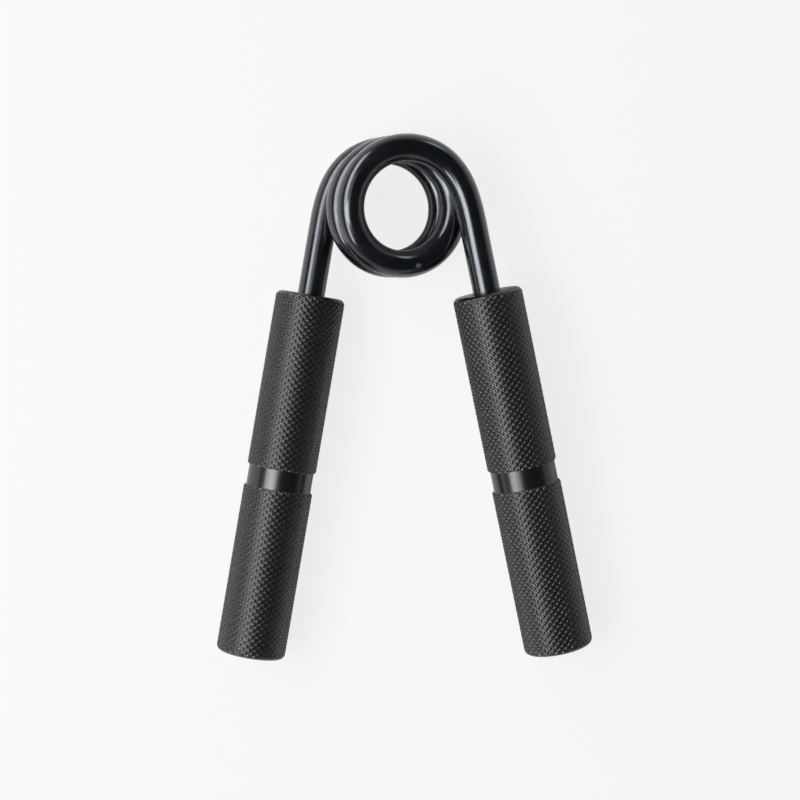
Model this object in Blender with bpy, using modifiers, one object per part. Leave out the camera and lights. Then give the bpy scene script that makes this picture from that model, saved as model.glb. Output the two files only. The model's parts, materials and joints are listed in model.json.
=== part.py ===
# Hand gripper: one thick steel wire wound as a torsion spring, with each straight leg held in a turned handle.
# It is drawn in its coil's own frame: X to the right, Y along the coil's axis and away from the viewer, Z from the
# handles up to the coil, the coil's middle at the origin. The right leg is the near one. An empty then lays the whole
# gripper down on its back, on the three points that it rests on.
import math

import bmesh
import bpy
import numpy as np
from mathutils import Matrix, Vector

# Spring sizes, in metres and degrees
WIRE_DIAMETER = 0.0086
COIL_MEAN_DIAMETER = 0.036
TURN_GAP = 0.0014              # open space between neighbouring turns
COIL_TURNS = 2.5               # turns from leg to leg, if the legs hung parallel
LEG_TILT = 10.8                # of each leg, outwards from the middle plane
LEG_SPLAY = 1.7                # of each leg, along the coil's axis
EASED_LENGTH = 0.022           # wire over which the coil's bend fades into a straight leg
LEG_DROP = 0.0272              # from the coil's axis down to the handles' tops
LEG_IN_HANDLE = 0.042
LEG_END_CHAMFER = 0.0008

# Handle sizes
HANDLE_DIAMETER = 0.022        # over the crests of the knurl
UPPER_GRIP_LENGTH = 0.0558
GROOVE_LENGTH = 0.0066         # from one knurled shoulder to the other
LOWER_GRIP_LENGTH = 0.0536
GROOVE_DEPTH = 0.0007
SHOULDER_CHAMFER = 0.0004      # where the knurl meets the groove
END_ROUNDING = 0.002
BORE_MOUTH_CHAMFER = 0.0005
DRILL_POINT_ANGLE = 118.0      # the whole cone at the bore's blind end

# Clearances between the leg and its bore
LEG_SIDE_GAP = 0.0003
LEG_END_GAP = 0.0008

# How finely the round shapes are drawn
POINTS_PER_TURN = 24
WIRE_BEVEL_RESOLUTION = 4      # gives the wire twelve sides
HANDLE_SIDES = 48
ROUNDING_STEPS = 4
FADE_STEPS = 5
FINE_STEPS_PER_FADE_STEP = 60  # for adding up the fading bend
MERGE_DISTANCE = 0.00001

# Densities in kilograms per cubic metre, to find how the gripper lies
STEEL = 7850.0
ALUMINIUM = 2700.0


def clear_scene():
    for thing in list(bpy.data.objects):
        bpy.data.objects.remove(thing, do_unlink=True)


def make_collection(name):
    collection = bpy.data.collections.new(name)
    bpy.context.scene.collection.children.link(collection)
    return collection


def make_material(name, colour, metallic, roughness):
    material = bpy.data.materials.new(name)
    material.use_nodes = True
    shader = material.node_tree.nodes["Principled BSDF"]
    shader.inputs["Base Color"].default_value = (*colour, 1.0)
    shader.inputs["Metallic"].default_value = metallic
    shader.inputs["Roughness"].default_value = roughness
    return material


def make_empty(name, collection, parent=None):
    empty = bpy.data.objects.new(name, None)
    empty.empty_display_size = WIRE_DIAMETER
    empty.parent = parent
    collection.objects.link(empty)
    return empty


def left_leg_direction():
    tilt = math.radians(LEG_TILT)
    along = math.tan(math.radians(LEG_SPLAY))
    return Vector((-math.sin(tilt), along, -math.cos(tilt))).normalized()


def left_half_of_wire():
    """Centre line from the top of the coil's middle turn to the end of the left leg.

    The bend is steady in the coil, then fades to nothing over the eased length. The climb along the coil's axis fades
    with it, from the coil's pitch to the leg's splay.
    """
    radius = COIL_MEAN_DIAMETER / 2
    climb = (WIRE_DIAMETER + TURN_GAP) / (math.pi * COIL_MEAN_DIAMETER)
    splay = math.tan(math.radians(LEG_SPLAY))
    turned_while_fading = EASED_LENGTH / COIL_MEAN_DIAMETER
    turned = math.radians(180 * COIL_TURNS - LEG_TILT) - turned_while_fading

    steps = math.ceil(turned / (2 * math.pi / POINTS_PER_TURN))
    points = []
    for step in range(steps + 1):
        angle = turned * step / steps
        points.append(Vector((-radius * math.sin(angle), radius * climb * angle, radius * math.cos(angle))))

    fine_steps = FADE_STEPS * FINE_STEPS_PER_FADE_STEP
    fine_length = EASED_LENGTH / fine_steps
    point = points[-1].copy()
    for step in range(fine_steps):
        done = (step + 0.5) / fine_steps
        angle = turned + (done - done * done / 2) * EASED_LENGTH / radius
        slope = climb + (splay - climb) * done
        point += fine_length * Vector((-math.cos(angle), slope, -math.sin(angle)))
        if (step + 1) % FINE_STEPS_PER_FADE_STEP == 0:
            points.append(point.copy())

    direction = left_leg_direction()
    top_of_handle = point + direction * (point.z + LEG_DROP) / -direction.z
    end = top_of_handle + direction * LEG_IN_HANDLE
    points.append(end - direction * LEG_END_CHAMFER)
    points.append(end)
    return points, top_of_handle


def half_turned(point):
    """The same point after half a turn about Z, which carries one leg of the gripper on to the other."""
    return Vector((-point.x, -point.y, point.z))


def least_gap(points):
    """Least space between stretches of the wire that are more than a quarter turn apart along it."""
    line = []
    for start, end in zip(points, points[1:]):
        pieces = max(1, round((end - start).length / (WIRE_DIAMETER / 8)))
        line += [start.lerp(end, piece / pieces) for piece in range(pieces)]
    line = np.array([point[:] for point in line])
    run = np.concatenate([[0.0], np.cumsum(np.linalg.norm(np.diff(line, axis=0), axis=1))])
    apart = np.linalg.norm(line[:, None] - line[None], axis=2)
    apart[np.abs(run[:, None] - run[None]) < math.pi * COIL_MEAN_DIAMETER / 4] = np.inf
    return apart.min() - WIRE_DIAMETER


def make_spring(collection, parent, material):
    left_half, _ = left_half_of_wire()
    right_half = [half_turned(point) for point in reversed(left_half[1:])]
    points = right_half + left_half
    print(f"torsion_spring: least gap between its turns {least_gap(points) * 1000:.2f} mm")

    curve = bpy.data.curves.new("torsion_spring", "CURVE")
    curve.dimensions = "3D"
    curve.bevel_depth = WIRE_DIAMETER / 2
    curve.bevel_resolution = WIRE_BEVEL_RESOLUTION
    curve.use_fill_caps = True
    spline = curve.splines.new("POLY")
    spline.points.add(len(points) - 1)
    for spline_point, point in zip(spline.points, points):
        spline_point.co = (*point, 1.0)
    for end in (spline.points[0], spline.points[-1]):
        end.radius = 1 - 2 * LEG_END_CHAMFER / WIRE_DIAMETER
    spline.use_smooth = True
    curve.materials.append(material)
    spring = bpy.data.objects.new("torsion_spring", curve)
    spring.parent = parent
    collection.objects.link(spring)
    return spring


def rounded_corner(radius, height, first_angle):
    """Quarter circle about (radius, height), turning clockwise from first_angle, in degrees."""
    angles = [math.radians(first_angle - 90 * step / ROUNDING_STEPS) for step in range(ROUNDING_STEPS + 1)]
    return [(radius + END_ROUNDING * math.cos(a), height + END_ROUNDING * math.sin(a)) for a in angles]


def handle_profile():
    """Half section from the tip of the blind bore, out over the top face and down the outside to the bottom face."""
    outer = HANDLE_DIAMETER / 2
    bore = WIRE_DIAMETER / 2 + LEG_SIDE_GAP
    bore_end = -(LEG_IN_HANDLE + LEG_END_GAP)
    cone_tip = bore_end - bore / math.tan(math.radians(DRILL_POINT_ANGLE / 2))
    upper_shoulder = -UPPER_GRIP_LENGTH
    lower_shoulder = upper_shoulder - GROOVE_LENGTH
    bottom = lower_shoulder - LOWER_GRIP_LENGTH
    groove = outer - GROOVE_DEPTH
    bore_section = [
        (0, cone_tip),
        (bore, bore_end),
        (bore, -BORE_MOUTH_CHAMFER),
        (bore + BORE_MOUTH_CHAMFER, 0),
    ]
    groove_section = [
        (outer, upper_shoulder + SHOULDER_CHAMFER),
        (outer - SHOULDER_CHAMFER, upper_shoulder),
        (groove, upper_shoulder),
        (groove, lower_shoulder),
        (outer - SHOULDER_CHAMFER, lower_shoulder),
        (outer, lower_shoulder - SHOULDER_CHAMFER),
    ]
    top_corner = rounded_corner(outer - END_ROUNDING, -END_ROUNDING, 90)
    bottom_corner = rounded_corner(outer - END_ROUNDING, bottom + END_ROUNDING, 0)
    return bore_section + top_corner + groove_section + bottom_corner + [(0, bottom)]


def make_handle(name, collection, parent, material, top, leg_direction):
    """A turned bar with its top face's centre at top, hanging along its leg."""
    profile = handle_profile()
    mesh = bpy.data.meshes.new(name)
    mesh.from_pydata([(r, 0, z) for r, z in profile], [(i, i + 1) for i in range(len(profile) - 1)], [])
    mesh.materials.append(material)
    handle = bpy.data.objects.new(name, mesh)
    handle.parent = parent
    handle.location = top
    handle.rotation_euler = (-leg_direction).to_track_quat("Z", "Y").to_euler()
    collection.objects.link(handle)
    turn = handle.modifiers.new("turned bar", "SCREW")
    turn.axis = "Z"
    turn.steps = HANDLE_SIDES
    turn.render_steps = HANDLE_SIDES
    turn.use_merge_vertices = True
    turn.merge_threshold = MERGE_DISTANCE
    turn.use_smooth_shade = True
    return handle


def world_triangles(thing):
    """Corners of every triangle of a piece, as it stands, and all its points."""
    evaluated = thing.evaluated_get(bpy.context.evaluated_depsgraph_get())
    mesh = evaluated.to_mesh()
    mesh.calc_loop_triangles()
    points = np.array([evaluated.matrix_world @ vertex.co for vertex in mesh.vertices])
    corners = points[[list(triangle.vertices) for triangle in mesh.loop_triangles]]
    evaluated.to_mesh_clear()
    return corners, points


def weight_and_moment(corners, density):
    """Mass of a closed piece, and that mass times the place of its centre."""
    volumes = np.einsum("ij,ij->i", corners[:, 0], np.cross(corners[:, 1], corners[:, 2])) / 6
    centres = corners.sum(axis=1) / 4
    return density * volumes.sum(), density * (volumes[:, None] * centres).sum(axis=0)


def resting_face(points, centre):
    """Outward normal of the hull's face that the gripper settles on when it is laid on its back."""
    hull = bmesh.new()
    for point in points:
        hull.verts.new(point)
    bmesh.ops.convex_hull(hull, input=hull.verts)
    bmesh.ops.recalc_face_normals(hull, faces=hull.faces)
    faces = [(face.normal.copy(), face.verts[0].co.copy()) for face in hull.faces]
    hull.free()
    down = Vector((0, 1, 0))
    for _ in faces:
        below = [(normal.dot(corner - centre) / normal.dot(down), normal) for normal, corner in faces
                 if normal.dot(down) > 0.01]
        settled = min(below, key=lambda entry: entry[0])[1]
        if settled.dot(down) > 0.999999:
            break
        down = settled
    return down


def lay_down(frame, pieces):
    """Turn and move the whole gripper on to the floor, flat on its back, with the middle of its box at the origin."""
    bpy.context.view_layer.update()
    weight, moment, clouds = 0.0, np.zeros(3), []
    for piece, density in pieces:
        corners, points = world_triangles(piece)
        mass, mass_moment = weight_and_moment(corners, density)
        weight, moment = weight + mass, moment + mass_moment
        clouds.append(points)
    cloud = np.concatenate(clouds)
    up = -resting_face(cloud, Vector(moment / weight))
    right = Vector((0, 0, 1)).cross(up).normalized()
    turn = Matrix((right, up.cross(right), up))
    laid = cloud @ np.array(turn).T
    low, high = laid.min(axis=0), laid.max(axis=0)
    frame.rotation_euler = turn.to_euler()
    frame.location = (-(low[0] + high[0]) / 2, -(low[1] + high[1]) / 2, -low[2])


def build():
    clear_scene()
    gripper = make_collection("hand_gripper")
    black_steel = make_material("gloss black spring steel", (0.006, 0.006, 0.007), 0.0, 0.18)
    black_aluminium = make_material("black anodised aluminium", (0.016, 0.017, 0.019), 0.6, 0.38)

    gripper_frame = make_empty("gripper_frame", gripper)
    squeeze_axis = make_empty("squeeze_axis", gripper, gripper_frame)
    _, left_top = left_half_of_wire()
    down_left = left_leg_direction()
    spring = make_spring(gripper, gripper_frame, black_steel)
    left = make_handle("left_handle", gripper, gripper_frame, black_aluminium, left_top, down_left)
    right = make_handle("right_handle", gripper, squeeze_axis, black_aluminium, half_turned(left_top),
                        half_turned(down_left))
    lay_down(gripper_frame, [(spring, STEEL), (left, ALUMINIUM), (right, ALUMINIUM)])


build()
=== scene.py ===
import json
import math

import bmesh
import bpy
import numpy as np
from mathutils import Matrix, Vector


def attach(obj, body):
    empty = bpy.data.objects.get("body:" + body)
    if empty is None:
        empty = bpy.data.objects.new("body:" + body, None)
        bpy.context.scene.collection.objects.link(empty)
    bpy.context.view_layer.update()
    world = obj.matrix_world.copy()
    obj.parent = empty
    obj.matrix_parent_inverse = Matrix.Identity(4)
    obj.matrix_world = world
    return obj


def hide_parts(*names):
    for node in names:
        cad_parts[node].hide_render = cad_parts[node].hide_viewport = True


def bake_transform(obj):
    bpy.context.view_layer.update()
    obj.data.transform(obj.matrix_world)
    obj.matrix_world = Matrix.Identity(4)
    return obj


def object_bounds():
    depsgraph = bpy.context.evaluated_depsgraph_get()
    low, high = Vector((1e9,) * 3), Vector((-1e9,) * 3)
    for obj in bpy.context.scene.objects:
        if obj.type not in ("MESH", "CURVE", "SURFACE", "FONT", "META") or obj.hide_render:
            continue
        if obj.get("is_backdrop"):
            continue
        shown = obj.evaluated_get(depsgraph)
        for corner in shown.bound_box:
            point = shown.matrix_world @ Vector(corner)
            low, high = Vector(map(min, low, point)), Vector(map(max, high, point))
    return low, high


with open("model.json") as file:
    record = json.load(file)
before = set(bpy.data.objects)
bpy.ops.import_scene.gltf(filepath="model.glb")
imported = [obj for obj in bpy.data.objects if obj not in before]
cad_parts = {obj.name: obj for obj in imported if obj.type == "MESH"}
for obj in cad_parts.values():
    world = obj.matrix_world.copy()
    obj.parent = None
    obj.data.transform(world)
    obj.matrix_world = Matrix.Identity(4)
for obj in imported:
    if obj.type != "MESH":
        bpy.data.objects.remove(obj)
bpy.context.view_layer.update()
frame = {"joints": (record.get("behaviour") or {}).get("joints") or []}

mm = 0.001

# The gripper is made in its coil's frame: X right, Y along the coil's axis, Z up from the handles to the coil.
squeeze = frame["joints"][0]
coilY = Vector(squeeze["axis"]).normalized()
coilZ = Vector((1, 0, 0)).cross(coilY).normalized()
coilFrame = Matrix((coilY.cross(coilZ), coilY, coilZ)).transposed().to_4x4()
coilFrame.translation = squeeze["pos_m"]


def hexToLinear(colour):
    channels = [int(colour[i:i + 2], 16) / 255 for i in (1, 3, 5)]
    return (*[c / 12.92 if c <= 0.04045 else ((c + 0.055) / 1.055) ** 2.4 for c in channels], 1)


def addNode(tree, kind, values=None, links=None, **settings):
    node = tree.nodes.new(kind)
    for name, value in settings.items():
        setattr(node, name, value)
    for socket, value in (values or {}).items():
        node.inputs[socket].default_value = value
    for socket, source in (links or {}).items():
        tree.links.new(source, node.inputs[socket])
    return node


def addObject(name, data):
    thing = bpy.data.objects.new(name, data)
    bpy.context.scene.collection.objects.link(thing)
    return thing


def newFinish(name):
    material = bpy.data.materials.new(name)
    material.use_nodes = True
    material.node_tree.nodes.clear()
    return material, material.node_tree


def finishShader(tree, values, links):
    shader = addNode(tree, "ShaderNodeBsdfPrincipled", values, links)
    addNode(tree, "ShaderNodeOutputMaterial", links={"Surface": shader.outputs[0]})


lacquerLook = {
    "colour": "#090a0c",
    "duller": "#101115",           # where handling has dulled it
    "cast": "#e6eeff",             # the black's faint blue
    "ior": 1.5,
    "glossRoughness": 0.20,
    "dullRoughness": 0.32,
    "coatRoughness": 0.13,         # the clear gloss over the black
    "patchSize": 9 * mm,           # dull patches along the wire
    "patchFrom": 0.42,             # they come in over this part of a noise from 0 to 1
    "patchTo": 0.68,
    "orangePeelSize": 2.2 * mm,
    "orangePeelHeight": 0.004 * mm,
    "drawLineSize": 0.35 * mm,     # drawing lines of the wire under the lacquer, really finer than this
    "drawLineHeight": 0.0006 * mm,
    "drawLineStretch": 50,         # times as long as they are wide
    "chipPlace": (0.67 * mm, -4.25 * mm, 158.3 * mm),     # across the wire and along it
    "chipRadius": 0.85 * mm,
    "chipColour": "#565c57",       # bare steel with some of the lacquer's edge
    "chipRoughness": 0.5,
}


def makeLacquer(look):
    # Gloss black lacquer on drawn spring steel: almost black, with one hard bright streak that orange peel ripples.
    material, tree = newFinish("glossBlackLacqueredSpringSteel")
    place = addNode(tree, "ShaderNodeAttribute", attribute_name="alongWire").outputs["Vector"]
    patches = addNode(tree, "ShaderNodeTexNoise", {"Scale": 1 / look["patchSize"], "Detail": 4, "Roughness": 0.55},
                      {"Vector": place})
    worn = addNode(tree, "ShaderNodeMapRange", {"From Min": look["patchFrom"], "From Max": look["patchTo"]},
                   {"Value": patches.outputs[0]})
    roughness = addNode(tree, "ShaderNodeMapRange", {"To Min": look["glossRoughness"], "To Max": look["dullRoughness"]},
                        {"Value": worn.outputs[0]})
    colour = addNode(tree, "ShaderNodeMix", {6: hexToLinear(look["colour"]), 7: hexToLinear(look["duller"])},
                     {"Factor": worn.outputs[0]}, data_type="RGBA")
    # one small chip under the coil: its ragged edge is twice the radius times a noise that is about a half
    ragged = addNode(tree, "ShaderNodeTexNoise", {"Scale": 1 / look["chipRadius"], "Detail": 3}, {"Vector": place})
    toChip = addNode(tree, "ShaderNodeVectorMath", {1: look["chipPlace"]}, {0: place}, operation="DISTANCE")
    edge = addNode(tree, "ShaderNodeMath", {1: 2 * look["chipRadius"]}, {0: ragged.outputs[0]}, operation="MULTIPLY")
    chipped = addNode(tree, "ShaderNodeMath", links={0: toChip.outputs["Value"], 1: edge.outputs[0]},
                      operation="LESS_THAN")
    whole = addNode(tree, "ShaderNodeMath", {0: 1.0}, {1: chipped.outputs[0]}, operation="SUBTRACT")
    bare = addNode(tree, "ShaderNodeMix", {7: hexToLinear(look["chipColour"])},
                   {"Factor": chipped.outputs[0], 6: colour.outputs[2]}, data_type="RGBA")
    duller = addNode(tree, "ShaderNodeMix", {3: look["chipRoughness"]},
                     {"Factor": chipped.outputs[0], 2: roughness.outputs[0]})
    stretched = addNode(tree, "ShaderNodeMapping", {"Scale": (1, 1, 1 / look["drawLineStretch"])}, {"Vector": place})
    lines = addNode(tree, "ShaderNodeTexNoise", {"Scale": 1 / look["drawLineSize"], "Detail": 2},
                    {"Vector": stretched.outputs[0]})
    peel = addNode(tree, "ShaderNodeTexNoise", {"Scale": 1 / look["orangePeelSize"], "Detail": 1},
                   {"Vector": place})
    ripple = addNode(tree, "ShaderNodeBump", {"Strength": 1, "Distance": look["orangePeelHeight"]},
                     {"Height": peel.outputs[0]})
    bump = addNode(tree, "ShaderNodeBump", {"Strength": 1, "Distance": look["drawLineHeight"]},
                   {"Height": lines.outputs[0], "Normal": ripple.outputs[0]})
    finishShader(tree, {"IOR": look["ior"], "Specular Tint": hexToLinear(look["cast"]),
                        "Coat Roughness": look["coatRoughness"], "Coat IOR": look["ior"]},
                 {"Base Color": bare.outputs[2], "Roughness": duller.outputs[0], "Normal": bump.outputs[0],
                  "Coat Weight": whole.outputs[0], "Coat Normal": ripple.outputs[0]})
    return material


anodisedLook = {
    "colour": "#0d0e10",
    "crestColour": "#1b1c1f",      # crests that the hand has polished
    "ior": 1.7,                    # the oxide film over the metal
    "grooveRoughness": 0.30,
    "crestRoughness": 0.27,
    "handledPatchSize": 14 * mm,   # of the hand's polish on the crests
    "turnedRoughness": 0.25,
    "turnedSpread": 0.05,          # more and less than that, in clouds
    "turnedCloudSize": 6 * mm,
    "etchSize": 0.25 * mm,         # the satin etch, drawn coarser than it is so that it shows
    "etchHeight": 0.001 * mm,
    "toolMarkPitch": 0.22 * mm,    # feed lines of the turning tool, really about a third of this
    "toolMarkHeight": 0.0006 * mm,
}


def makeKnurled(look):
    # Black anodised aluminium, diamond knurled: dull dark flanks, with crests a shade paler and smoother from handling.
    material, tree = newFinish("knurledBlackAnodisedAluminium")
    place = addNode(tree, "ShaderNodeAttribute", attribute_name="barSpace").outputs["Vector"]
    crest = addNode(tree, "ShaderNodeAttribute", attribute_name="crest").outputs["Fac"]
    handling = addNode(tree, "ShaderNodeTexNoise", {"Scale": 1 / look["handledPatchSize"], "Detail": 3},
                       {"Vector": place})
    polish = addNode(tree, "ShaderNodeMath", links={0: crest, 1: handling.outputs[0]}, operation="MULTIPLY")
    colour = addNode(tree, "ShaderNodeMix", {6: hexToLinear(look["colour"]), 7: hexToLinear(look["crestColour"])},
                     {"Factor": polish.outputs[0]}, data_type="RGBA")
    roughness = addNode(tree, "ShaderNodeMapRange",
                        {"To Min": look["grooveRoughness"], "To Max": look["crestRoughness"]}, {"Value": crest})
    etch = addNode(tree, "ShaderNodeTexNoise", {"Scale": 1 / look["etchSize"], "Detail": 2}, {"Vector": place})
    bump = addNode(tree, "ShaderNodeBump", {"Strength": 1, "Distance": look["etchHeight"]}, {"Height": etch.outputs[0]})
    finishShader(tree, {"IOR": look["ior"]},
                 {"Base Color": colour.outputs[2], "Roughness": roughness.outputs[0], "Normal": bump.outputs[0]})
    return material


def makeTurned(look):
    # Black anodised aluminium as turned: the same dye on a smoother face, with fine rings from the tool.
    material, tree = newFinish("turnedBlackAnodisedAluminium")
    place = addNode(tree, "ShaderNodeAttribute", attribute_name="barSpace").outputs["Vector"]
    axes = addNode(tree, "ShaderNodeSeparateXYZ", links={0: place})
    flatPlace = addNode(tree, "ShaderNodeCombineXYZ", links={0: axes.outputs[0], 1: axes.outputs[1]})
    fromAxis = addNode(tree, "ShaderNodeVectorMath", links={0: flatPlace.outputs[0]}, operation="LENGTH")
    feed = addNode(tree, "ShaderNodeMath", links={0: axes.outputs[2], 1: fromAxis.outputs["Value"]}, operation="ADD")
    turns = addNode(tree, "ShaderNodeMath", {1: 2 * math.pi / look["toolMarkPitch"]}, {0: feed.outputs[0]},
                    operation="MULTIPLY")
    marks = addNode(tree, "ShaderNodeMath", links={0: turns.outputs[0]}, operation="SINE")
    bump = addNode(tree, "ShaderNodeBump", {"Strength": 1, "Distance": look["toolMarkHeight"]},
                   {"Height": marks.outputs[0]})
    cloud = addNode(tree, "ShaderNodeTexNoise", {"Scale": 1 / look["turnedCloudSize"], "Detail": 3},
                    {"Vector": place})
    roughness = addNode(tree, "ShaderNodeMapRange", {
        "To Min": look["turnedRoughness"] - look["turnedSpread"],
        "To Max": look["turnedRoughness"] + look["turnedSpread"]}, {"Value": cloud.outputs[0]})
    finishShader(tree, {"Base Color": hexToLinear(look["colour"]), "IOR": look["ior"]},
                 {"Roughness": roughness.outputs[0], "Normal": bump.outputs[0]})
    return material


lacquer = makeLacquer(lacquerLook)
knurled = makeKnurled(anodisedLook)
turned = makeTurned(anodisedLook)
print("finishes made")


def newShapeTree(name, inputs):
    tree = bpy.data.node_groups.new(name, "GeometryNodeTree")
    tree.interface.new_socket("Geometry", in_out="INPUT", socket_type="NodeSocketGeometry")
    tree.interface.new_socket("Geometry", in_out="OUTPUT", socket_type="NodeSocketGeometry")
    for label, kind in inputs.items():
        tree.interface.new_socket(label, in_out="INPUT", socket_type=kind)
    return tree, addNode(tree, "NodeGroupInput").outputs, addNode(tree, "NodeGroupOutput")


def bakeTree(thing, tree, values):
    # runs the tree on the object, and leaves it with the plain mesh that comes out
    modifier = thing.modifiers.new(tree.name, "NODES")
    modifier.node_group = tree
    for socket in tree.interface.items_tree:
        if socket.item_type == "SOCKET" and socket.name in values:
            modifier[socket.identifier] = values[socket.name]
    made = thing.evaluated_get(bpy.context.evaluated_depsgraph_get())
    mesh = bpy.data.meshes.new_from_object(made)
    thing.modifiers.remove(modifier)
    thing.data = mesh


springSizes = {
    "wireDiameter": 8.6 * mm,
    "coilMeanDiameter": 36 * mm,
    "turnGap": 1.4 * mm,
    "coilTurns": 2.5,
    "legTilt": math.radians(10.8),
    "legSplay": math.radians(1.7),
    "easedLength": 22 * mm,        # over which the bend fades out
    "easedSteps": 800,             # the fading bend is summed in this many steps
    "stepsPerPoint": 25,           # and the line keeps one in this many
    "legDrop": 27.2 * mm,          # from the coil's middle down to the handle's top
    "legInHandle": 42 * mm,
    "lineSpacing": 0.8 * mm,
    "wireSides": 40,
    "sharpAngle": math.radians(40),
    "bendReach": 0.87,             # of the wire's diameter, each way along the axis: the turns that wind on
}


def leftLegDirection(sizes):
    tilt = sizes["legTilt"]
    return Vector((-math.sin(tilt), math.tan(sizes["legSplay"]), -math.cos(tilt))).normalized()


def leftHalfOfWire(sizes):
    # from the top of the middle turn round the coil, with the bend fading out, and down the left leg
    radius = sizes["coilMeanDiameter"] / 2
    climb = (sizes["wireDiameter"] + sizes["turnGap"]) / (math.pi * sizes["coilMeanDiameter"])
    splay = math.tan(sizes["legSplay"])
    fadeTurn = sizes["easedLength"] / sizes["coilMeanDiameter"]
    fullTurn = math.pi * sizes["coilTurns"] - sizes["legTilt"] - fadeTurn
    count = math.ceil(fullTurn * radius / sizes["lineSpacing"])
    line = [Vector((-radius * math.sin(a), radius * climb * a, radius * math.cos(a)))
            for a in (fullTurn * i / count for i in range(count + 1))]
    steps = sizes["easedSteps"]
    point = line[-1].copy()
    for i in range(steps):
        done = (i + 0.5) / steps
        angle = fullTurn + (done - done * done / 2) * sizes["easedLength"] / radius
        slope = climb + (splay - climb) * done
        point += Vector((-math.cos(angle), slope, -math.sin(angle))) * sizes["easedLength"] / steps
        if (i + 1) % sizes["stepsPerPoint"] == 0:
            line.append(point.copy())
    direction = leftLegDirection(sizes)
    handleTop = point + direction * (point.z + sizes["legDrop"]) / -direction.z
    legEnd = handleTop + direction * sizes["legInHandle"]
    count = math.ceil((legEnd - point).length / sizes["lineSpacing"])
    line += [point.lerp(legEnd, (i + 1) / count) for i in range(count)]
    return line, handleTop


def halfTurned(point):
    return Vector((-point.x, -point.y, point.z))     # on to the other leg


def makeWireTree():
    tree, given, result = newShapeTree("roundWireAlongLine", {
        "Wire Radius": "NodeSocketFloat", "Wire Sides": "NodeSocketInt", "Finish": "NodeSocketMaterial"})
    line = addNode(tree, "GeometryNodeMeshToCurve", links={"Mesh": given["Geometry"]})
    run = addNode(tree, "GeometryNodeSplineParameter")
    keepRun = addNode(tree, "GeometryNodeCaptureAttribute", links={0: line.outputs[0]})
    keepRun.capture_items.new("FLOAT", "Run")
    tree.links.new(run.outputs["Length"], keepRun.inputs["Run"])
    circle = addNode(tree, "GeometryNodeCurvePrimitiveCircle",
                     links={"Resolution": given["Wire Sides"], "Radius": given["Wire Radius"]})
    keepPlace = addNode(tree, "GeometryNodeCaptureAttribute", links={0: circle.outputs[0]})
    keepPlace.capture_items.new("VECTOR", "Place")
    tree.links.new(addNode(tree, "GeometryNodeInputPosition").outputs[0], keepPlace.inputs["Place"])
    tube = addNode(tree, "GeometryNodeCurveToMesh", {"Fill Caps": True},
                   {"Curve": keepRun.outputs[0], "Profile Curve": keepPlace.outputs[0]})
    place = addNode(tree, "ShaderNodeSeparateXYZ", links={0: keepPlace.outputs["Place"]})
    unrolled = addNode(tree, "ShaderNodeCombineXYZ",
                       links={0: place.outputs[0], 1: place.outputs[1], 2: keepRun.outputs["Run"]})
    stored = addNode(tree, "GeometryNodeStoreNamedAttribute", {"Name": "alongWire"},
                     {"Geometry": tube.outputs[0], "Value": unrolled.outputs[0]},
                     data_type="FLOAT_VECTOR", domain="POINT")
    smooth = addNode(tree, "GeometryNodeSetShadeSmooth", links={0: stored.outputs[0]})
    real = addNode(tree, "GeometryNodeRealizeInstances", links={0: smooth.outputs[0]})
    finished = addNode(tree, "GeometryNodeSetMaterial", links={0: real.outputs[0], "Material": given["Finish"]})
    tree.links.new(finished.outputs[0], result.inputs[0])
    return tree


def makeSpring(sizes):
    leftHalf, handleTop = leftHalfOfWire(sizes)
    line = [halfTurned(point) for point in reversed(leftHalf[1:])] + leftHalf
    mesh = bpy.data.meshes.new("springLine")
    mesh.from_pydata([coilFrame @ point for point in line], [(i, i + 1) for i in range(len(line) - 1)], [])
    spring = addObject("coiledSpring", mesh)
    bakeTree(spring, makeWireTree(), {
        "Wire Radius": sizes["wireDiameter"] / 2, "Wire Sides": sizes["wireSides"], "Finish": lacquer})
    spring.data.set_sharp_from_angle(angle=sizes["sharpAngle"])
    return spring, handleTop


spring, leftHandleTop = makeSpring(springSizes)
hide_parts("torsion_spring")
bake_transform(spring)
print("spring made:", len(spring.data.polygons), "faces")


barSizes = {
    "diameter": 22 * mm,
    "length": 116 * mm,
    "grooveStart": 55.8 * mm,      # from the top face
    "grooveEnd": 62.4 * mm,
    "grooveDepth": 0.7 * mm,
    "grooveFillet": 0.12 * mm,
    "shoulderChamfer": 0.4 * mm,
    "endRounding": 2 * mm,
    "roundingSteps": 8,
    "boreDiameter": 9.2 * mm,
    "boreDepth": 42.8 * mm,
    "boreMouthChamfer": 0.5 * mm,
    "drillPointHalfAngle": math.radians(59),
    "sides": 96,
    "sharpAngle": math.radians(28),
    "edgeSupport": 0.3 * mm,       # rings this near an edge keep a flat face's shading flat
    "boreSupport": 0.5 * mm,
    "endRing": 0.5,                # of the end face's radius
}

knurlSizes = {
    "starts": 31,                  # grooves of each hand round the bar
    "pitchAlong": 2.08 * mm,
    "depth": 0.42 * mm,
    # sizes and heights of a diamond's rings: rounded groove, flank, rounded shoulder and flat crest
    "rings": [(1, 0), (0.93, 0.01), (0.78, 0.12), (0.62, 0.45), (0.46, 0.86), (0.34, 1)],
    "sharpAngle": math.radians(60),
    "spareRows": 3,                # past the bar's length, and cut off
    "cutTolerance": 0.001 * mm,
    "mergeDistance": 0.002 * mm,
    "rimTolerance": 0.003 * mm,
}


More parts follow.
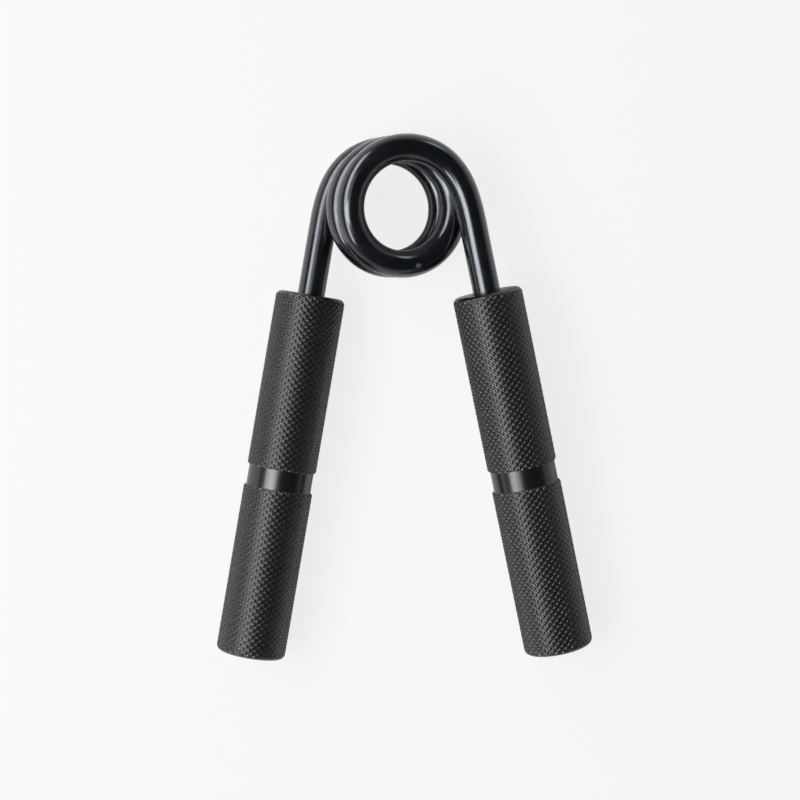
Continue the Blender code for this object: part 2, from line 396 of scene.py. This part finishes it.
def makeDiamond(bar, knurl):
    # one diamond of the knurl, lying flat: a quarter of the groove on each side, flanks, a small rounding and the crest
    halfRound = math.pi * bar["diameter"] / knurl["starts"] / 2
    halfAlong = knurl["pitchAlong"] / 2
    points, faces = [], []
    for size, height in knurl["rings"]:
        x, y, z = halfRound * size, halfAlong * size, height * knurl["depth"]
        points += [(x, 0, z), (0, y, z), (-x, 0, z), (0, -y, z)]
    for ring in range(len(knurl["rings"]) - 1):
        for i in range(4):
            j = (i + 1) % 4
            faces.append((4 * ring + i, 4 * ring + j, 4 * ring + 4 + j, 4 * ring + 4 + i))
    peak = len(points)
    points.append((0, 0, knurl["depth"]))
    faces += [(peak - 4 + i, peak - 4 + (i + 1) % 4, peak) for i in range(4)]
    mesh = bpy.data.meshes.new("knurlDiamond")
    mesh.from_pydata(points, [], faces)
    return addObject("knurlDiamond", mesh)


def makeKnurlTree(knurl):
    tree, given, result = newShapeTree("knurledSheet", {
        "Diamond": "NodeSocketObject", "Starts": "NodeSocketInt", "Rows": "NodeSocketInt",
        "Pitch Round": "NodeSocketFloat", "Pitch Along": "NodeSocketFloat", "Finish": "NodeSocketMaterial"})
    spans, halves = [], []
    for count, pitch in (("Starts", "Pitch Round"), ("Rows", "Pitch Along")):
        gaps = addNode(tree, "ShaderNodeMath", {1: 1}, {0: given[count]}, operation="SUBTRACT").outputs[0]
        spans.append(addNode(tree, "ShaderNodeMath", links={0: gaps, 1: given[pitch]}, operation="MULTIPLY").outputs[0])
        halves.append(addNode(tree, "ShaderNodeMath", {1: 0.5}, {0: given[pitch]}, operation="MULTIPLY").outputs[0])
    grid = addNode(tree, "GeometryNodeMeshGrid", links={
        "Vertices X": given["Starts"], "Vertices Y": given["Rows"], "Size X": spans[0], "Size Y": spans[1]})
    # and the same grid again, half a step on
    halfStep = addNode(tree, "ShaderNodeCombineXYZ", links={0: halves[0], 1: halves[1]})
    between = addNode(tree, "GeometryNodeTransform",
                      links={"Geometry": grid.outputs[0], "Translation": halfStep.outputs[0]})
    places = addNode(tree, "GeometryNodeJoinGeometry", links={0: grid.outputs[0]})
    tree.links.new(between.outputs[0], places.inputs[0])
    diamond = addNode(tree, "GeometryNodeObjectInfo", links={"Object": given["Diamond"]})
    studs = addNode(tree, "GeometryNodeInstanceOnPoints",
                    links={"Points": places.outputs[0], "Instance": diamond.outputs["Geometry"]})
    real = addNode(tree, "GeometryNodeRealizeInstances", links={0: studs.outputs[0]})
    sheet = addNode(tree, "GeometryNodeMergeByDistance", {"Distance": knurl["mergeDistance"]}, {0: real.outputs[0]})
    finished = addNode(tree, "GeometryNodeSetMaterial", links={0: sheet.outputs[0], "Material": given["Finish"]})
    tree.links.new(finished.outputs[0], result.inputs[0])
    return tree


def makeKnurledSheet(bar, knurl):
    diamond = makeDiamond(bar, knurl)
    sheet = addObject("knurledSheet", bpy.data.meshes.new("knurledSheet"))
    bakeTree(sheet, makeKnurlTree(knurl), {
        "Diamond": diamond, "Starts": knurl["starts"],
        "Rows": math.ceil(bar["length"] / knurl["pitchAlong"]) + knurl["spareRows"],
        "Pitch Round": math.pi * bar["diameter"] / knurl["starts"], "Pitch Along": knurl["pitchAlong"],
        "Finish": knurled})
    bpy.data.objects.remove(diamond)
    return sheet


def barOutline(bar):
    # depth below the top face and radius, all down the outside
    radius, rounding, steps = bar["diameter"] / 2, bar["endRounding"], bar["roundingSteps"]
    chamfer = bar["shoulderChamfer"]
    corner = [(rounding * (1 - math.sin(a)), radius - rounding * (1 - math.cos(a)))
              for a in (math.radians(90 * (1 - i / steps)) for i in range(steps + 1))]
    top = corner + [(bar["grooveStart"] - chamfer, radius), (bar["grooveStart"], radius - chamfer)]
    bottom = [(bar["grooveEnd"], radius - chamfer), (bar["grooveEnd"] + chamfer, radius)]
    bottom += [(bar["length"] - depth, r) for depth, r in reversed(corner)]
    return top, bottom


def addRing(body, angles, radius, depth):
    return [body.verts.new((radius * math.cos(a), radius * math.sin(a), -depth)) for a in angles]


def joinRings(body, upper, lower, upperAngles, lowerAngles):
    # triangles between two rings that may differ in count, both in order of angle
    upperCount, lowerCount = len(upper), len(lower)
    nextUpper = list(upperAngles[1:]) + [upperAngles[0] + 2 * math.pi]
    nextLower = list(lowerAngles[1:]) + [lowerAngles[0] + 2 * math.pi]
    i = j = 0
    while i < upperCount or j < lowerCount:
        if j == lowerCount or (i < upperCount and nextUpper[i] <= nextLower[j]):
            body.faces.new((upper[i % upperCount], upper[(i + 1) % upperCount], lower[j % lowerCount]))
            i += 1
        else:
            body.faces.new((upper[i % upperCount], lower[(j + 1) % lowerCount], lower[j % lowerCount]))
            j += 1


def joinEvenRings(body, upper, lower):
    for i in range(len(upper)):
        k = (i + 1) % len(upper)
        body.faces.new((upper[i], upper[k], lower[k], lower[i]))


def wrapKnurl(body, sheet, bar, knurl, outline, start, end):
    # cuts the flat sheet to length, cuts it at every bend of the outline, and wraps it round the bar under that outline
    flat = bmesh.new()
    flat.from_mesh(sheet.data)
    middle = bar["length"] / 2
    for vert in flat.verts:
        vert.co.y += middle
    cuts = [(start, -1, True), (end, 1, True)] + [(depth, 1, False) for depth, _ in outline if start < depth < end]
    for depth, outwards, isEnd in cuts:
        bmesh.ops.bisect_plane(flat, geom=flat.verts[:] + flat.edges[:] + flat.faces[:], dist=knurl["cutTolerance"],
                               plane_co=(0, depth, 0), plane_no=(0, outwards, 0), clear_outer=isEnd)
    depths, radii = zip(*outline)
    radius = bar["diameter"] / 2
    for vert in flat.verts:
        depth = min(max(vert.co.y, start), end)
        limit = float(np.interp(depth, depths, radii))
        out = min(radius - knurl["depth"] + vert.co.z, limit)
        angle = vert.co.x / radius
        vert.co = (out * math.cos(angle), out * math.sin(angle), -depth)
    bmesh.ops.remove_doubles(flat, verts=flat.verts, dist=knurl["mergeDistance"])
    bmesh.ops.dissolve_degenerate(flat, edges=flat.edges, dist=knurl["mergeDistance"])
    wrapped = bpy.data.meshes.new("wrapped")
    flat.to_mesh(wrapped)
    flat.free()
    before = len(body.verts)
    body.from_mesh(wrapped)
    bpy.data.meshes.remove(wrapped)
    body.verts.ensure_lookup_table()
    added = body.verts[before:]
    rims = []
    for depth in (start, end):
        rim = [v for v in added if v.is_boundary and abs(v.co.z + depth) < knurl["rimTolerance"]]
        rim.sort(key=lambda v: math.atan2(v.co.y, v.co.x))
        rims.append((rim, [math.atan2(v.co.y, v.co.x) for v in rim]))
    return rims


def makeBarMesh(bar, knurl, sheet):
    body = bmesh.new()
    top, bottom = barOutline(bar)
    knurlFloor = bar["diameter"] / 2 - knurl["depth"]
    start = next(i for i, (_, r) in enumerate(top) if r > knurlFloor) - 1     # where the knurl runs out on the rounding
    shank = bar["diameter"] / 2 - bar["grooveDepth"]
    upperRims = wrapKnurl(body, sheet, bar, knurl, top, top[start][0], top[-1][0])
    lowerRims = wrapKnurl(body, sheet, bar, knurl, bottom, bottom[0][0], bottom[-1 - start][0])
    knurlFaces = len(body.faces)
    even = [2 * math.pi * (i + 0.5) / bar["sides"] - math.pi for i in range(bar["sides"])]

    # top end: the rest of the rounding, the face, the bore's mouth, the bore and its drilled point
    bore, mouth, support = bar["boreDiameter"] / 2, bar["boreMouthChamfer"], bar["edgeSupport"]
    inner = [(depth, r) for depth, r in reversed(top[:start])]
    inner += [(0, top[0][1] - support), (0, bore + mouth + support), (0, bore + mouth), (mouth, bore),
              (mouth + bar["boreSupport"], bore), (bar["boreDepth"], bore)]
    rings = [addRing(body, even, r, depth) for depth, r in inner]
    rim, angles = upperRims[0]
    joinRings(body, rings[0], rim, even, angles)
    for outerRing, innerRing in zip(rings, rings[1:]):
        joinEvenRings(body, innerRing, outerRing)
    tip = body.verts.new((0, 0, -bar["boreDepth"] - bore / math.tan(bar["drillPointHalfAngle"])))
    for i in range(bar["sides"]):
        body.faces.new((rings[-1][i], rings[-1][(i + 1) % bar["sides"]], tip))

    # turned groove between the two knurled grips
    fillet = bar["grooveFillet"]
    floor = [(bar["grooveStart"], shank + fillet), (bar["grooveStart"] + fillet, shank),
             (bar["grooveStart"] + 3 * fillet, shank), (bar["grooveEnd"] - 3 * fillet, shank),
             (bar["grooveEnd"] - fillet, shank), (bar["grooveEnd"], shank + fillet)]
    rings = [addRing(body, even, r, depth) for depth, r in floor]
    joinRings(body, upperRims[1][0], rings[0], upperRims[1][1], even)
    for upperRing, lowerRing in zip(rings, rings[1:]):
        joinEvenRings(body, upperRing, lowerRing)
    joinRings(body, rings[-1], lowerRims[0][0], even, lowerRims[0][1])

    # bottom end: the rest of the rounding and a plain face
    outer = [(bar["length"] - depth, r) for depth, r in reversed(top[:start])]
    outer += [(bar["length"], top[0][1] - support), (bar["length"], top[0][1] * bar["endRing"])]
    rings = [addRing(body, even, r, depth) for depth, r in outer]
    joinRings(body, lowerRims[1][0], rings[0], lowerRims[1][1], even)
    for upperRing, lowerRing in zip(rings, rings[1:]):
        joinEvenRings(body, upperRing, lowerRing)
    centre = body.verts.new((0, 0, -bar["length"]))
    for i in range(bar["sides"]):
        body.faces.new((rings[-1][(i + 1) % bar["sides"]], rings[-1][i], centre))

    body.faces.ensure_lookup_table()
    for number, face in enumerate(body.faces):
        face.material_index = 0 if number < knurlFaces else 1
        face.smooth = True
    bmesh.ops.recalc_face_normals(body, faces=body.faces)
    # the knurl's creases are sharp past its own angle, and its level cuts and everything turned past the bar's
    for edge in body.edges:
        level = abs(edge.verts[0].co.z - edge.verts[1].co.z) < knurl["cutTolerance"]
        inKnurl = not level and all(face.material_index == 0 for face in edge.link_faces)
        edge.smooth = edge.calc_face_angle(0) < (knurl["sharpAngle"] if inKnurl else bar["sharpAngle"])
    openEdges = sum(1 for edge in body.edges if not edge.is_manifold)
    mesh = bpy.data.meshes.new("knurledBar")
    body.to_mesh(mesh)
    body.free()
    mesh.materials.append(knurled)
    mesh.materials.append(turned)

    # what the finishes read: place on the bar, and how near a crest each point is
    places = np.zeros(len(mesh.vertices) * 3, np.float32)
    mesh.vertices.foreach_get("co", places)
    mesh.attributes.new("barSpace", "FLOAT_VECTOR", "POINT").data.foreach_set("vector", places)
    places = places.reshape(-1, 3)
    crest = np.clip((np.hypot(places[:, 0], places[:, 1]) - knurlFloor) / knurl["depth"], 0, 1)
    mesh.attributes.new("crest", "FLOAT", "POINT").data.foreach_set("value", crest.astype(np.float32))
    print("bar mesh:", len(mesh.polygons), "faces,", openEdges, "open edges")
    return mesh


def placeHandle(name, mesh, top, direction, body, node):
    handle = addObject(name, mesh)
    turn = (-direction).to_track_quat("Z", "Y").to_matrix().to_4x4()
    mesh.transform(coilFrame @ Matrix.Translation(top) @ turn)
    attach(handle, body)
    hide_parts(node)


sheet = makeKnurledSheet(barSizes, knurlSizes)
barMesh = makeBarMesh(barSizes, knurlSizes, sheet)
bpy.data.objects.remove(sheet)
downLeft = leftLegDirection(springSizes)
placeHandle("leftGrip", barMesh.copy(), leftHandleTop, downLeft, "left_arm", "left_handle")
placeHandle("rightGrip", barMesh, halfTurned(leftHandleTop), halfTurned(downLeft), "right_arm", "right_handle")
print("handles made")


floorLook = {
    "colour": "#fafafa",           # as the camera sees it
    "paper": "#dedede",            # the paper itself
    "size": 6.0,
    "lift": 0.86,                  # how far its shadows are held pale
    "liftInGloss": 0.1,            # and how much of that is left in gloss or glass
}


def makeFloor(look):
    half = look["size"] / 2
    height = min(0.0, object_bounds()[0].z)
    mesh = bpy.data.meshes.new("floor")
    mesh.from_pydata([(-half, -half, height), (half, -half, height), (half, half, height), (-half, half, height)],
                     [], [(0, 1, 2, 3)])
    # A roll of matte pale paper that the camera sees almost white, with shadows held pale as in a catalogue picture.
    material, tree = newFinish("mattePaper")
    paper = addNode(tree, "ShaderNodeBsdfDiffuse", {"Color": hexToLinear(look["paper"])})
    glow = addNode(tree, "ShaderNodeEmission", {"Color": hexToLinear(look["colour"]), "Strength": 1})
    path = addNode(tree, "ShaderNodeLightPath").outputs
    gloss = addNode(tree, "ShaderNodeMath", links={0: path["Is Glossy Ray"], 1: path["Is Transmission Ray"]},
                    operation="MAXIMUM")
    share = addNode(tree, "ShaderNodeMath", {1: look["liftInGloss"]}, {0: gloss.outputs[0]}, operation="MULTIPLY")
    seen = addNode(tree, "ShaderNodeMath", links={0: path["Is Camera Ray"], 1: share.outputs[0]}, operation="MAXIMUM")
    lift = addNode(tree, "ShaderNodeMath", {1: look["lift"]}, {0: seen.outputs[0]}, operation="MULTIPLY")
    mixed = addNode(tree, "ShaderNodeMixShader", links={0: lift.outputs[0], 1: paper.outputs[0], 2: glow.outputs[0]})
    addNode(tree, "ShaderNodeOutputMaterial", links={"Surface": mixed.outputs[0]})
    mesh.materials.append(material)
    floor = addObject("floor", mesh)
    floor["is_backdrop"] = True


roomLight = {
    "colour": "#f7f7f7",
    "walls": 0.7,
    "wallTop": 0.08,               # height of a direction at which the pale walls begin to fade
    "ceilingFrom": 0.40,           # and at which the dark ceiling begins
    "ceiling": 0.05,
}


def makeRoom(light):
    # pale walls all round and a dark ceiling, which is what the gloss black wire mirrors
    world = bpy.data.worlds.new("paleRoom")
    bpy.context.scene.world = world
    world.use_nodes = True
    tree = world.node_tree
    tree.nodes.clear()
    direction = addNode(tree, "ShaderNodeTexCoord").outputs["Generated"]
    up = addNode(tree, "ShaderNodeSeparateXYZ", links={0: direction}).outputs[2]
    level = addNode(tree, "ShaderNodeMapRange", {
        "From Min": light["wallTop"], "From Max": light["ceilingFrom"],
        "To Min": light["walls"], "To Max": light["ceiling"]}, {"Value": up})
    room = addNode(tree, "ShaderNodeBackground", {"Color": hexToLinear(light["colour"])},
                   {"Strength": level.outputs[0]})
    backdrop = addNode(tree, "ShaderNodeBackground", {"Color": hexToLinear(light["colour"]), "Strength": 1})
    camera = addNode(tree, "ShaderNodeLightPath").outputs["Is Camera Ray"]
    seen = addNode(tree, "ShaderNodeMixShader", links={0: camera, 1: room.outputs[0], 2: backdrop.outputs[0]})
    addNode(tree, "ShaderNodeOutputWorld", links={"Surface": seen.outputs[0]})


lamps = {
    "leftSoftbox": {"place": (-0.45, 0.10, 0.54), "aim": (0, 0.03, 0), "size": (0.27, 1.70), "watts": 8.3,
                    "colour": "#ffffff"},
    "lowerSoftbox": {"place": (-0.28, -0.11, 0.62), "aim": (0, 0, 0), "size": (0.22, 0.24), "watts": 1.1,
                     "colour": "#ffffff"},
    "spill": {"place": (-0.20, 0.0, 0.66), "aim": (0, 0.03, 0), "size": (0.26, 0.60), "watts": 0.45,
              "colour": "#ffffff"},
    "leftCard": {"place": (-0.80, 0.05, 0.10), "aim": (0, 0.03, 0), "size": (0.16, 1.20), "watts": 0.3,
                 "colour": "#ffffff"},
    "farWindow": {"place": (0.75, 0.92, 0.33), "aim": (0, 0.03, 0), "size": (0.28, 0.26), "watts": 0.7,
                  "colour": "#e4ecff"},
}


def makeLamp(name, lamp):
    light = bpy.data.lights.new(name, "AREA")
    light.shape = "RECTANGLE"
    light.size, light.size_y = lamp["size"]
    light.energy = lamp["watts"]
    light.color = hexToLinear(lamp["colour"])[:3]
    thing = addObject(name, light)
    away = (Vector(lamp["place"]) - Vector(lamp["aim"])).normalized()
    side = Vector((0, 1, 0)).cross(away).normalized()
    turn = Matrix((side, away.cross(side), away)).transposed().to_4x4()
    thing.matrix_world = Matrix.Translation(lamp["place"]) @ turn
    thing.visible_camera = False


# fitted to the photograph in the coil's frame
cameraFit = {
    "distance": 650 * mm,
    "belowCoil": 60.84 * mm,       # what it looks at: this far below the coil's middle, and this far to its left
    "leftOfCoil": 0.089 * mm,
    "yaw": math.radians(20.12),
    "pitch": math.radians(4.115),
    "roll": math.radians(-1.014),
    "lens": 92.59,                 # in mm, like the sensor
    "sensorWidth": 36,
    "clipStart": 10 * mm,
}


def makeCamera(fit):
    yaw, pitch, roll = fit["yaw"], fit["pitch"], fit["roll"]
    back = Vector((-math.sin(yaw) * math.cos(pitch), -math.cos(yaw) * math.cos(pitch), math.sin(pitch)))
    level = (-back).cross(Vector((0, 0, 1))).normalized()
    steep = level.cross(-back)
    right = math.cos(roll) * level + math.sin(roll) * steep
    up = back.cross(right)
    camera = bpy.data.cameras.new("camera")
    camera.sensor_width = fit["sensorWidth"]
    camera.lens = fit["lens"]
    camera.clip_start = fit["clipStart"]
    thing = addObject("camera", camera)
    turn = Matrix((right, up, back)).transposed().to_4x4()
    place = Vector((0, 0, -fit["belowCoil"])) - fit["leftOfCoil"] * level + back * fit["distance"]
    thing.matrix_world = coilFrame @ Matrix.Translation(place) @ turn
    bpy.context.scene.camera = thing


makeFloor(floorLook)
makeRoom(roomLight)
for name, lamp in lamps.items():
    makeLamp(name, lamp)
makeCamera(cameraFit)
bpy.context.scene.view_settings.view_transform = "Standard"
print("studio made")

bpy.context.view_layer.update()
